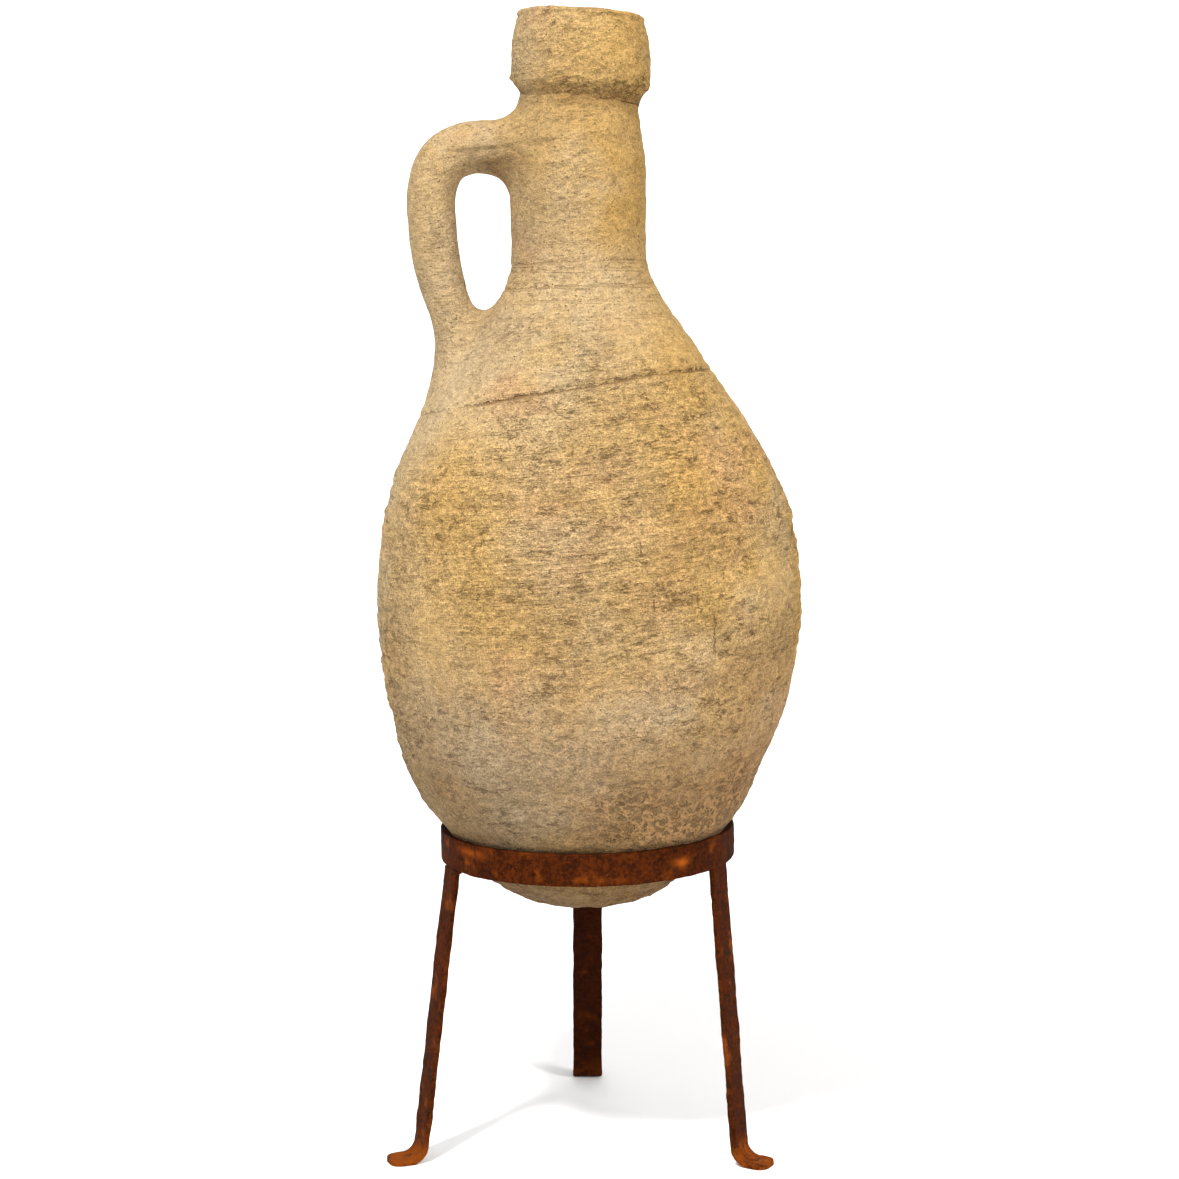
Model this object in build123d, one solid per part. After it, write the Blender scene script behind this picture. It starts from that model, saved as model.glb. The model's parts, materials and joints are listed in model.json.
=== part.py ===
from build123d import *
import math
import os

# A tall one-handled clay jug with a rounded base, standing in an iron tripod.
# Millimetres, +Z up. The origin is on the floor, on the axis of the tripod's hoop.
# The front is -Y, and the handle is on the -X side.

# Flat bar that the whole tripod is made of
BAR_WIDTH = 25.0
BAR_THICKNESS = 4.0

# Hoop
HOOP_OUTER_RADIUS = 117.2
HOOP_TOP = 258.0
HOOP_TILT = 0.9
SEAM_ANGLE = 70.0
SEAM_GAP = 1.0
SEAM_GROOVE_DEPTH = 1.5
SEAM_BEAD_RADIUS = 2.5
SEAM_BEAD_START = 5.0
SEAM_BEAD_LENGTH = 16.0

# Legs: the angle round from the front, and how far out the heel of the foot stands
LEG_ANGLES = {"left": -66.5, "right": 62.0, "back": 180.0}
HEEL_REACHES = {"left": 144.0, "right": 136.5, "back": 144.0}
FOOT_LENGTH = 26.0
HEEL_BEND_RADIUS = 13.0
TOE_RADIUS = 9.0
WELD_RADIUS = 3.0
WELD_OVERLAP = 2.5

# Clay: the jug leans a little towards its handle above the belly joint
WALL = 10.0
JUG_AXIS_X = -1.3
BELLY_JOIN_Z = 505.0
BELLY_JOIN_RADIUS = 159.5
BELLY_JOIN_SLOPE = -0.17
NECK_AXIS_X = -6.5
NECK_FOOT_Z = 690.0
NECK_FOOT_RADIUS = 57.5
NECK_BORE_RADIUS = 42.0

# Outer outline of the lower body, as (radius, height)
BASE_BOTTOM_Z = 193.0
LOWER_OUTLINE = [
    (35, 197.5),
    (59.5, 207.5),
    (89, 229.5),
    (112.5, 258),
    (129.5, 285),
    (154.5, 350),
    (164, 395),
    (167, 435),
    (165.5, 468),
    (BELLY_JOIN_RADIUS, BELLY_JOIN_Z),
]

# Level sections of the upper body, as (height, axis x, outer radius, inner radius)
UPPER_SECTIONS = [
    (BELLY_JOIN_Z, JUG_AXIS_X, BELLY_JOIN_RADIUS, BELLY_JOIN_RADIUS - WALL),
    (530, -1.5, 152, 141),
    (570, -3, 134.5, 122.5),
    (610, -4.5, 109.5, 97.5),
    (650, -5.3, 82, 69),
    (NECK_FOOT_Z, NECK_AXIS_X, NECK_FOOT_RADIUS, NECK_BORE_RADIUS),
]

# Outer outline of the neck, as (radius, height)
NECK_OUTLINE = [
    (NECK_FOOT_RADIUS, NECK_FOOT_Z),
    (53.5, 706),
    (53, 735),
    (52.5, 770),
    (46, 822),
]

# Neck and mouth
NECK_TOP_RADIUS = 46.0
NECK_TOP_Z = 878.0
THROAT_RADIUS = 37.5
THROAT_Z = 826.0
THROAT_TAPER = 16.0
MOUTH_FLARE_Z = 892.5
MOUTH_FLARE = 10.0

# Collar
COLLAR_BOTTOM_Z = 831.0
COLLAR_TOP_Z = 896.0
COLLAR_RADIUS = 53.4
COLLAR_TOP_RADIUS = 50.0
COLLAR_UNDERCUT = 11.0
COLLAR_BULGE = 0.4
COLLAR_LIP_RADIUS = 4.5
COLLAR_AXIS_X = -5.0
COLLAR_TILT = 3.0

# Handle
HANDLE_THICKNESS = 38.0
HANDLE_WIDTH = 44.0
HANDLE_ROUTE = [(-45, 792), (-123, 792), (-121, 712), (-89, 592)]
HANDLE_BEND_RADII = [38.0, 170.0]

TALL = 2000.0


def outline_through(points):
    """The (radius, height) points as places in the plane of the lathe."""
    return [Vector(radius, 0, height) for radius, height in points]


def moved_inwards(points, wall):
    """The points of an outline, each moved square to it by the wall."""
    inner = []
    for i, (radius, height) in enumerate(points):
        before = points[max(i - 1, 0)]
        after = points[min(i + 1, len(points) - 1)]
        run = after[0] - before[0]
        rise = after[1] - before[1]
        length = math.hypot(run, rise)
        inner.append((radius - wall * rise / length, height + wall * run / length))
    return inner


def turned(edges):
    """A solid of revolution about Z from the edges of a closed outline."""
    return revolve(make_face(Wire(edges)), Axis.Z, 360)


def bowl_side(points, bottom):
    """The side of the rounded base: a spline from its lowest point through the points."""
    places = [Vector(0, 0, bottom)] + outline_through(points)
    ends = [Vector(1, 0, 0), Vector(BELLY_JOIN_SLOPE, 0, 1)]
    return Edge.make_spline(places, tangents=ends)


def turned_plug(points):
    """A full solid between flat ends, inside a spline through the points."""
    places = outline_through(points)
    side = Edge.make_spline(places)
    foot, top = places[0], places[-1]
    return turned([
        Edge.make_line(Vector(0, 0, foot.Z), foot),
        side,
        Edge.make_line(top, Vector(0, 0, top.Z)),
        Edge.make_line(Vector(0, 0, top.Z), Vector(0, 0, foot.Z)),
    ])


def upright_cylinder(radius, low, high):
    """A cylinder on Z between two heights."""
    base = Pos(0, 0, low) * Circle(radius)
    return extrude(base, high - low, dir=(0, 0, 1))


def round_from_front(angle):
    """Turns the plane x > 0, y = 0 to an angle counted round from the front."""
    return Rot(0, 0, angle - 90)


# ---- the clay jug ----

def make_lower_body():
    outer = bowl_side(LOWER_OUTLINE, BASE_BOTTOM_Z)
    inner_points = moved_inwards(LOWER_OUTLINE, WALL)
    inner_points[-1] = (BELLY_JOIN_RADIUS - WALL, BELLY_JOIN_Z)
    inner = bowl_side(inner_points, BASE_BOTTOM_Z + WALL)
    shell = turned([
        outer,
        Edge.make_line(outer @ 1, inner @ 1),
        inner,
        Edge.make_line(inner @ 0, outer @ 0),
    ])
    return Pos(JUG_AXIS_X, 0, 0) * shell


def upper_body_outside():
    """The upper body as a full solid, between its two level joints."""
    return loft([Pos(x, 0, height) * Circle(outer) for height, x, outer, inner in UPPER_SECTIONS])


def upper_body_inside():
    return loft([Pos(x, 0, height) * Circle(inner) for height, x, outer, inner in UPPER_SECTIONS])


def make_upper_body():
    return upper_body_outside() - upper_body_inside()


def neck_outside():
    """The neck as a full solid, up to where the collar hides it."""
    foot = turned_plug(NECK_OUTLINE)
    top = upright_cylinder(NECK_TOP_RADIUS, NECK_OUTLINE[-1][1], NECK_TOP_Z)
    return Pos(NECK_AXIS_X, 0, 0) * (foot + top)


def neck_bore():
    """The throat, which widens into the neck below it and flares at the lip."""
    low = NECK_FOOT_Z - WALL
    taper_z = THROAT_Z - THROAT_TAPER
    corners = [
        (0, low),
        (NECK_BORE_RADIUS, low),
        (NECK_BORE_RADIUS, taper_z),
        (THROAT_RADIUS, THROAT_Z),
        (THROAT_RADIUS, MOUTH_FLARE_Z),
        (THROAT_RADIUS + MOUTH_FLARE, MOUTH_FLARE_Z + MOUTH_FLARE),
        (0, MOUTH_FLARE_Z + MOUTH_FLARE),
    ]
    outline = Polyline(*outline_through(corners), close=True)
    return Pos(NECK_AXIS_X, 0, 0) * revolve(make_face(outline), Axis.Z, 360)


def make_neck():
    return neck_outside() - neck_bore()


def make_rim_collar():
    mid = (COLLAR_BOTTOM_Z + COLLAR_TOP_Z) / 2
    # The underside is a cone that starts inside the neck's clay
    under = Vector(NECK_BORE_RADIUS, 0, COLLAR_BOTTOM_Z)
    widest = Vector(COLLAR_RADIUS, 0, COLLAR_BOTTOM_Z + COLLAR_UNDERCUT)
    shoulder = Vector(COLLAR_TOP_RADIUS, 0, COLLAR_TOP_Z - COLLAR_LIP_RADIUS)
    lip = Vector(COLLAR_TOP_RADIUS - COLLAR_LIP_RADIUS, 0, COLLAR_TOP_Z)
    belly = Vector(COLLAR_RADIUS + COLLAR_BULGE, 0, mid)
    outline = [
        Edge.make_line(Vector(0, 0, COLLAR_BOTTOM_Z), under),
        Edge.make_line(under, widest),
        Edge.make_three_point_arc(widest, belly, shoulder),
        Edge.make_tangent_arc(shoulder, Vector(0, 0, 1), lip),
        Edge.make_line(lip, Vector(0, 0, COLLAR_TOP_Z)),
        Edge.make_line(Vector(0, 0, COLLAR_TOP_Z), Vector(0, 0, COLLAR_BOTTOM_Z)),
    ]
    tilt = Pos(COLLAR_AXIS_X, 0, mid) * Rot(0, COLLAR_TILT, 0) * Pos(0, 0, -mid)
    return tilt * turned(outline) - neck_outside() - neck_bore()


def handle_route():
    """The middle of the strap: straight runs joined by bends, in the plane y = 0."""
    corners = [Vector(x, 0, z) for x, z in HANDLE_ROUTE]
    return FilletPolyline(*corners, radius=HANDLE_BEND_RADII)


def make_handle():
    route = handle_route()
    start = Plane(origin=route @ 0, x_dir=(0, 1, 0), z_dir=route % 0)
    section = start * Ellipse(HANDLE_WIDTH / 2, HANDLE_THICKNESS / 2)
    strap = sweep(section, path=route)
    return strap - neck_outside() - upper_body_outside()


# ---- the tripod ----

def hoop_tilted(shape):
    """Tips the hoop about its middle, the right side up."""
    return Pos(0, 0, HOOP_TOP) * Rot(0, -HOOP_TILT, 0) * Pos(0, 0, -HOOP_TOP) * shape


def make_ring_hoop():
    low = HOOP_TOP - BAR_WIDTH
    inner_radius = HOOP_OUTER_RADIUS - BAR_THICKNESS
    band = upright_cylinder(HOOP_OUTER_RADIUS, low, HOOP_TOP)
    band = band - upright_cylinder(inner_radius, low, HOOP_TOP)
    gap = Pos(HOOP_OUTER_RADIUS, 0, HOOP_TOP) * Box(4 * BAR_THICKNESS, SEAM_GAP, 4 * BAR_WIDTH)
    return hoop_tilted(band - round_from_front(SEAM_ANGLE) * gap)


def make_hoop_seam_weld(hoop):
    """Fills the back of the gap between the hoop's ends and stands proud inside."""
    low = HOOP_TOP - BAR_WIDTH + SEAM_BEAD_START
    inner_radius = HOOP_OUTER_RADIUS - BAR_THICKNESS
    fill_depth = BAR_THICKNESS - SEAM_GROOVE_DEPTH
    fill = Box(fill_depth, SEAM_GAP, SEAM_BEAD_LENGTH, align=(Align.MIN, Align.CENTER, Align.MIN))
    fill = Pos(inner_radius, 0, low) * fill
    bead = Pos(inner_radius, 0, 0) * upright_cylinder(SEAM_BEAD_RADIUS, low, low + SEAM_BEAD_LENGTH)
    outside = Pos(inner_radius, 0, 0) * Box(
        TALL, TALL, TALL, align=(Align.MIN, Align.CENTER, Align.CENTER)
    )
    bead = bead - outside
    weld = hoop_tilted(round_from_front(SEAM_ANGLE) * (fill + bead))
    return weld - hoop


def under_hoop():
    """Everything below the plane of the hoop's lower edge."""
    block = Box(TALL, TALL, TALL, align=(Align.CENTER, Align.CENTER, Align.MAX))
    return hoop_tilted(Pos(0, 0, HOOP_TOP - BAR_WIDTH) * block)


def make_leg(side):
    """One bar: down and out from the hoop, then bent along the floor into a foot."""
    half = BAR_THICKNESS / 2
    top_radius = HOOP_OUTER_RADIUS - half
    hoop_low = HOOP_TOP - BAR_WIDTH
    heel = HEEL_REACHES[side]
    splay = (heel - top_radius) / (hoop_low - half)
    over = BAR_WIDTH
    middle = FilletPolyline(
        Vector(top_radius - splay * over, 0, hoop_low + over),
        Vector(heel, 0, half),
        Vector(heel + FOOT_LENGTH, 0, half),
        radius=HEEL_BEND_RADIUS,
    )
    start = Plane(origin=middle @ 0, x_dir=(0, 1, 0), z_dir=middle % 0)
    bar = sweep(start * Rectangle(BAR_WIDTH, BAR_THICKNESS), path=middle)
    toe_edges = bar.edges().filter_by(Axis.Z).group_by(Axis.X)[-1]
    bar = fillet(toe_edges, TOE_RADIUS)
    return (round_from_front(LEG_ANGLES[side]) * bar) & under_hoop()


def make_leg_weld(side, hoop, leg):
    """A bead along the inside of the joint, filling the corners beside the leg."""
    length = BAR_WIDTH + 2 * WELD_OVERLAP
    bead = Rot(90, 0, 0) * Cylinder(WELD_RADIUS, length)
    place = Pos(HOOP_OUTER_RADIUS - WELD_RADIUS, 0, HOOP_TOP - BAR_WIDTH)
    bead = hoop_tilted(round_from_front(LEG_ANGLES[side]) * place * bead)
    return bead - hoop - leg


def write_piece(name, shape):
    export_step(shape, f"parts/{name}.step")


def main():
    os.makedirs("parts", exist_ok=True)
    write_piece("lower_body", make_lower_body())
    write_piece("upper_body", make_upper_body())
    write_piece("neck", make_neck())
    write_piece("rim_collar", make_rim_collar())
    write_piece("handle", make_handle())
    hoop = make_ring_hoop()
    write_piece("ring_hoop", hoop)
    write_piece("hoop_seam_weld", make_hoop_seam_weld(hoop))
    for side in LEG_ANGLES:
        leg = make_leg(side)
        write_piece(f"leg_{side}", leg)
        write_piece(f"weld_{side}", make_leg_weld(side, hoop, leg))


main()
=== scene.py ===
import itertools
import json
import math

import bpy
import numpy as np
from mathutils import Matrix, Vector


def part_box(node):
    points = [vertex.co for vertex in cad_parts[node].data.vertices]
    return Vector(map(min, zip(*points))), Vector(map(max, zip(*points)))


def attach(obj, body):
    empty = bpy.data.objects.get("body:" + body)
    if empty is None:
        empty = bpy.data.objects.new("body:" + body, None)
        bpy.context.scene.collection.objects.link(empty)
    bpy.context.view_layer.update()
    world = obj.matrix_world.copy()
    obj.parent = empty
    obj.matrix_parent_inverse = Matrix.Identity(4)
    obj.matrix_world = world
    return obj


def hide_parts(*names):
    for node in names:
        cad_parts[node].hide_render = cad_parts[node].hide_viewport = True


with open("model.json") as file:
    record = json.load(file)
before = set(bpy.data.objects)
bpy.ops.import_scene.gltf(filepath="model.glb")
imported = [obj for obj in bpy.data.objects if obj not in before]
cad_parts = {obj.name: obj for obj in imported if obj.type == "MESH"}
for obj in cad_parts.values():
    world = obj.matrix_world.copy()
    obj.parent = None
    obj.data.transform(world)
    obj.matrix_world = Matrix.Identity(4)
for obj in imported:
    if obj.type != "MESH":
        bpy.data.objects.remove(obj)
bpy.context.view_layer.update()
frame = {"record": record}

# The look of a clay jug in an iron tripod. Shapes are worked out in millimetres and made in metres.
# An angle is counted round from the front (-Y) towards the right (+X).

MM = 0.001
FULL_TURN = 2 * math.pi
COLUMNS = 400
MOUNTS = {mount["name"]: mount for mount in frame["record"]["mounts"]}

# ---------------------------------------------------------------- sizes

def cad_highest(node):
    """The highest corner of a CAD node's box, in mm to the nearest tenth."""
    return [round(value / MM, 1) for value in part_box(node)[1]]


def foot_place(side):
    """The mount under a foot: degrees round, and mm from the hoop's axis."""
    x, y, _ = MOUNTS[f"foot_{side}"]["pos_m"]
    return round(math.degrees(math.atan2(x, -y)), 1), round(math.hypot(x, y) / MM, 1)


# The stand. A foot's mount is MOUNT_FROM_HEEL out from the corner of the leg's bend.
HOOP_TILT = math.radians(0.9)
HOOP_RADIUS = cad_highest("ring_hoop")[1]
HOOP_TOP = round(cad_highest("ring_hoop")[2] - HOOP_RADIUS * math.sin(HOOP_TILT), 1)
SEAM_ANGLE = math.radians(70)
BAR_WIDTH = 2 * cad_highest("leg_back")[0]
BAR_THICKNESS = 4.0
BAR_CORNER = 0.9
HOOP_INSIDE = HOOP_RADIUS - BAR_THICKNESS
MOUNT_FROM_HEEL = 12.0
LEG_ANGLES = {side: foot_place(side)[0] for side in ("left", "right", "back")}
HEEL_REACHES = {side: foot_place(side)[1] - MOUNT_FROM_HEEL for side in LEG_ANGLES}
FOOT_LENGTH = cad_highest("leg_back")[1] - HEEL_REACHES["back"]
HEEL_BEND = 13.0
TOE_RADIUS = 9.0

# The jug. The neck's outside ends at NECK_EDGE, behind the collar.
BELLY_JOIN = cad_highest("lower_body")[2]
NECK_FOOT = cad_highest("upper_body")[2]
NECK_TOP = cad_highest("neck")[2]
NECK_EDGE = 836.0
NECK_BORE = 42.0
THROAT = MOUNTS["mouth"]["dims"]["r_mm"] + 0.1
WALL = 10.5

# The jug's outside: height, radius, and how far its middle stands to the right of the hoop's axis
JUG_OUTLINE = [
    (192.8, 1.0, -2.3), (193.6, 18, -2.3), (197, 36, -2.3), (207, 61, -2.3), (229, 90, -2.3),
    (258, 112.4, -1.3), (285, 130.5, -3), (315, 143.5, -3), (350, 155, 0.5), (395, 164, 1.4),
    (440, 167.2, 1.9), (490, 162.5, 0.9), (530, 152, -0.5), (570, 134.5, -3), (610, 109.5, -4.5),
    (650, 82, -5), (680, 62.5, -5.5), (700, 54.3, -6.5), (715, 53, -7.0), (745, 53, -7.3),
    (775, 52.6, -7.3), (798, 49.5, -6.8), (818, 46.4, -6.1), (834, 46, -6.0),
]

# The handle's middle line in the plane y = 0, with half its thickness and half its width
HANDLE_LINE = [
    (-40, 792, 21, 25), (-62, 792, 20.5, 24), (-84, 792, 20, 22.5), (-104, 787, 19.5, 22),
    (-117, 773, 19, 22), (-121.8, 751, 18.5, 22), (-120.5, 728, 19, 22), (-117.6, 705, 19, 22),
    (-113.2, 687, 18.5, 22), (-106.8, 666, 17.5, 22.5), (-102.6, 648, 17.5, 24),
    (-100.8, 628, 18, 26), (-100.5, 608, 18, 27), (-101, 588, 17, 27),
]

# How far out the clay smeared round the ends of the handle reaches
SMEAR = 24.0


# ---------------------------------------------------------------- curves and noise

def smooth_curve(x, knots, values):
    """A smooth line through the knots that doesn't overshoot them."""
    knots = np.asarray(knots, float)
    values = np.asarray(values, float)
    step = np.diff(knots)
    rise = np.diff(values) / step
    slope = np.zeros_like(values)
    slope[0] = rise[0]
    slope[-1] = rise[-1]
    product = rise[:-1] * rise[1:]
    total = np.where(product > 0, rise[:-1] + rise[1:], 1)
    slope[1:-1] = np.where(product > 0, 2 * product / total, 0)
    i = np.clip(np.searchsorted(knots, x) - 1, 0, len(step) - 1)
    t = np.clip((x - knots[i]) / step[i], 0, 1)
    a = (1 + 2 * t) * (1 - t) ** 2
    b = t * (1 - t) ** 2
    c = t * t * (3 - 2 * t)
    d = t * t * (t - 1)
    return a * values[i] + b * step[i] * slope[i] + c * values[i + 1] + d * step[i] * slope[i + 1]


def soft_step(low, high, x):
    """0 at low and 1 at high, smooth between them and level beyond."""
    t = np.clip((x - low) / (high - low), 0, 1)
    return t * t * (3 - 2 * t)


LATTICE = np.random.default_rng(11).uniform(-1, 1, (6, 32, 32, 32))


def lattice_noise(points, field):
    """Smooth noise from -1 to 1 at points given in cells. It repeats every 32 cells."""
    cell = np.floor(points).astype(int)
    t = points - cell
    t = t * t * (3 - 2 * t)
    total = np.zeros(points.shape[:-1])
    for corner in itertools.product((0, 1), repeat=3):
        i = (cell + corner) % 32
        weight = np.prod(np.where(corner, t, 1 - t), axis=-1)
        total += weight * LATTICE[field, i[..., 0], i[..., 1], i[..., 2]]
    return total


def clouds(points, size, field, octaves=3):
    """Layered noise. size is the largest feature in mm, one number or one for each axis."""
    total = np.zeros(points.shape[:-1])
    for layer in range(octaves):
        total += lattice_noise(points / size * 2 ** layer + 5.37 * layer, field) * 0.5 ** layer
    return total * 1.5


def patch(angle, height, centre, spread):
    """A soft oval patch. centre is (degrees, mm) and spread is (degrees, mm)."""
    across = (np.degrees(angle) - centre[0] + 180) % 360 - 180
    return np.exp(-(across / spread[0]) ** 2 - ((height - centre[1]) / spread[1]) ** 2)


# ---------------------------------------------------------------- the jug's plain shape

HEIGHTS = [row[0] for row in JUG_OUTLINE]
RADII = [row[1] for row in JUG_OUTLINE]
MIDDLES = [row[2] for row in JUG_OUTLINE]


def jug_radius(z):
    return smooth_curve(z, HEIGHTS, RADII)


def jug_middle(z):
    return smooth_curve(z, HEIGHTS, MIDDLES)


def jug_lean(z):
    """How fast the radius grows with height, held in where the base closes."""
    return np.clip((jug_radius(z + 1) - jug_radius(z - 1)) / 2, -1.5, 1.5)


def jug_distance(points):
    """About how far points stand outside the jug's plain shape."""
    z = points[..., 2]
    across = np.hypot(points[..., 0] - jug_middle(z), points[..., 1])
    return (across - jug_radius(z)) / np.sqrt(1 + jug_lean(z) ** 2)


def handle_samples(count):
    """Points, tangents, half thicknesses and half widths along the handle's middle line."""
    knots = np.arange(len(HANDLE_LINE))
    t = np.linspace(0, knots[-1], count)
    x, z, thick, wide = (smooth_curve(t, knots, column) for column in zip(*HANDLE_LINE))
    for _ in range(6):
        x[1:-1] = (x[:-2] + 2 * x[1:-1] + x[2:]) / 4
        z[1:-1] = (z[:-2] + 2 * z[1:-1] + z[2:]) / 4
    line = np.stack([x, np.zeros(count), z], -1)
    along = np.gradient(line, axis=0)
    along /= np.linalg.norm(along, axis=1, keepdims=True)
    return line, along, thick, wide


def handle_distance(points):
    """About how far points stand outside the handle's plain shape."""
    line, along, thick, wide = handle_samples(150)
    flat = points.reshape(-1, 3)
    result = np.full(len(flat), 1e3)
    near = np.flatnonzero((flat[:, 0] < -20) & (abs(flat[:, 1]) < 75) & (flat[:, 2] > 520))
    for part in np.array_split(near, max(1, len(near) // 20000)):
        p = flat[part]
        nearest = ((p[:, None, :] - line[None]) ** 2).sum(-1).argmin(1)
        offset = p - line[nearest]
        tangent = along[nearest]
        out = np.stack([tangent[:, 2], np.zeros(len(p)), -tangent[:, 0]], -1)
        u = (offset * out).sum(1)
        beyond = (offset * tangent).sum(1)
        v = offset[:, 1]
        q = np.sqrt((u / thick[nearest]) ** 2 + (v / wide[nearest]) ** 2) + 1e-6
        side = (q - 1) * np.hypot(u, v) / q
        result[part] = np.maximum(side, abs(beyond) - 4)
    return result.reshape(points.shape[:-1])


def blended(a, b):
    """The distance to two shapes joined with a smear of clay between them."""
    h = np.maximum(SMEAR - abs(a - b), 0) / SMEAR
    return np.minimum(a, b) - h * h * SMEAR / 4


def smeared_out(points, outward, other_distance):
    """Moves points out to the smear that joins their own shape to the other one."""
    low = np.zeros(points.shape[:-1])
    high = np.full(points.shape[:-1], SMEAR / 4 + 1.5)
    near = other_distance(points) < SMEAR
    for _ in range(14):
        middle = (low + high) / 2
        inside = blended(middle, other_distance(points + outward * middle[..., None])) < 0
        low = np.where(inside, middle, low)
        high = np.where(inside, high, middle)
    return points + outward * np.where(near, low, 0)[..., None]


# ---------------------------------------------------------------- marks in the clay

def line_height(angle, knots):
    """Height of a mark at each angle. knots are (degrees, mm)."""
    degrees = (np.degrees(angle) + 180) % 360 - 180
    return smooth_curve(degrees, [k[0] for k in knots], [k[1] for k in knots])


def between(angle, low, high, fade):
    """1 between two angles in degrees, and 0 past them."""
    degrees = (np.degrees(angle) + 180) % 360 - 180
    return soft_step(low - fade, low + fade, degrees) * (1 - soft_step(high - fade, high + fade, degrees))


# Lines of marks: degrees round and height
SHOULDER_GROOVE = [(-180, 575), (-72, 587), (-45, 593.5), (-23.5, 602), (-8, 606.6), (7, 611.7),
                   (30, 618), (54, 620.4), (70, 621.5), (180, 600)]
SCRAPED_RIDGE = [(-30, 262), (-5.5, 266), (5.6, 261.8), (14.5, 273.4), (21, 264), (40, 266)]

# Rings at the foot of the neck: height and depth
FINGER_RINGS = [(703, 0.8), (697.5, 0.6), (690, 0.4), (685, 0.9), (674, 0.45), (661, 0.5)]

# Upright cracks: degrees round, lowest and highest height
CRACKS = [(16.0, 428, 466), (33.5, 412, 446), (41.5, 426, 441), (24, 446, 462), (28.5, 449, 460),
          (13.6, 474, 500), (-8, 455, 468), (150, 420, 470), (196, 395, 430), (-120, 440, 480)]
FAR = 9.0

# The lower edge of the clay smeared from the handle on to the neck: x and height
FLAP_EDGE = [(-110, 786), (-100, 788.5), (-83, 789.5), (-62, 792), (-44, 795), (-21, 796), (-10, 797)]

# Patches: centre (degrees round, height), spread (degrees, mm) and strength
ROUGH_PATCHES = [
    ((-5, 512), (70, 26), 0.55), ((25, 560), (50, 30), 0.35), ((-55, 480), (30, 45), 0.45),
    ((30, 438), (32, 28), 0.5), ((42, 292), (28, 30), 0.6), ((-52, 345), (22, 45), 0.35),
    ((10, 395), (45, 16), 0.3), ((-62, 610), (40, 55), -0.75), ((-15, 300), (26, 34), -0.45),
    ((-30, 395), (40, 22), -0.35),
]
SCRAPED_PATCHES = [
    ((36, 276), (30, 17), 1.2), ((62, 308), (18, 30), 1.1), ((16, 300), (14, 12), 0.8),
    ((-50, 300), (14, 14), 0.5), ((20, 395), (22, 16), 0.5), ((-5, 345), (16, 14), 0.4),
    ((150, 290), (30, 18), 0.8),
]
PALE_PATCHES = [
    ((-12, 285), (16, 16), 0.9), ((-25, 333), (22, 26), 0.6), ((2, 312), (9, 12), 0.7),
    ((72, 528), (5, 12), 0.8), ((-62, 285), (16, 14), 0.5), ((20, 370), (14, 14), 0.4),
    ((-60, 600), (30, 60), 0.5),
]
PINK_PATCHES = [
    ((-14, 521), (9, 12), 0.8), ((4, 546), (14, 12), 0.6), ((60, 330), (22, 60), 0.5),
    ((52, 398), (12, 12), 0.4),
]
DIRTY_PATCHES = [((-42, 265), (14, 7), 0.5), ((6, 272), (10, 8), 0.5), ((20, 522), (24, 8), 0.3)]

# Height, and how steeply the drag marks rise to the right there
DRAG_TILT = [(190, 0), (300, 0.03), (450, 0.09), (560, 0.1), (620, 0.12), (700, 0.02), (900, 0)]

# Height, and how dark the clay is drawn there: partly painted shade, darker towards the bottom and round
# the neck, and partly the clay's own tone
SHADE_BY_HEIGHT = [
    (190, 0.62), (235, 0.64), (262, 0.62), (300, 0.65), (360, 0.80), (420, 0.95), (520, 1.0),
    (610, 0.92), (690, 0.83), (740, 0.72), (828, 0.72), (840, 0.78), (895, 0.80),
]
# The handle is darkened the same way: partly painted shade, partly its own tone
HANDLE_SHADE = 0.76


def clay_roughness(angle, x, z, handle, patchy):
    """How torn and crumbly the surface is, 0 to 1. The wet hand smoothed the neck and the handle."""
    rough = 0.33 + 0.5 * patchy
    for centre, spread, amount in ROUGH_PATCHES:
        rough += amount * patch(angle, z, centre, spread)
    rough -= 0.8 * soft_step(690, 740, z)
    rough -= 0.5 * handle
    return np.clip(rough, 0.04 + 0.3 * soft_step(430, 340, z), 1)


def shoulder_groove(angle, z, handle, strokes):
    """The ring groove round the shoulder: height above it, how much it shows, its depth, its relief."""
    above = z - line_height(angle, SHOULDER_GROOVE)
    shown = between(angle, -44, 72, 10)
    shown += 0.45 * between(angle, -180, -60, 8) + 0.4 * between(angle, 80, 175, 10)
    shown = shown * (1 - 0.25 * strokes) * (1 - handle)
    groove = np.exp(-((above + 0.6) / 1.5) ** 2) * shown
    raised = shown * 1.2 * np.exp(-((above - 2.8) / 2.0) ** 2)
    return above, shown, groove, raised - 1.9 * groove


def finger_rings(x, z, levelled):
    """For each ring at the foot of the neck: height above it, and how deep it is there."""
    uneven = np.clip(0.7 + 0.6 * clouds(levelled, np.array([30, 30, 60.0]), 2, 2), 0, 1.3)
    for height, depth in FINGER_RINGS:
        yield z - height - 0.035 * x, depth * uneven


def scraped_clay(angle, z, patchy):
    """Where the clay was scraped and crumbled, most of it at the right above the hoop."""
    scraped = 0.2 * soft_step(0.3, 0.9, patchy)
    for centre, spread, amount in SCRAPED_PATCHES:
        scraped += amount * patch(angle, z, centre, spread)
    return np.clip(scraped * soft_step(700, 640, z), 0, 1)


def nearest_crack(angle, z):
    """Signed distance in mm to the nearest upright crack, and how much of it there is."""
    distance = np.full(z.shape, FAR)
    shown = np.zeros(z.shape)
    for turn, low, high in CRACKS:
        off = ((np.degrees(angle) - turn + 180) % 360 - 180) * math.pi / 180 * jug_radius(z)
        inside = soft_step(low - 2, low + 5, z) * soft_step(high + 2, high - 5, z)
        nearer = (abs(off) < abs(distance)) & (inside > 0)
        distance = np.where(nearer, off, distance)
        shown = np.where(nearer, inside, shown)
    return distance, shown


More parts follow.
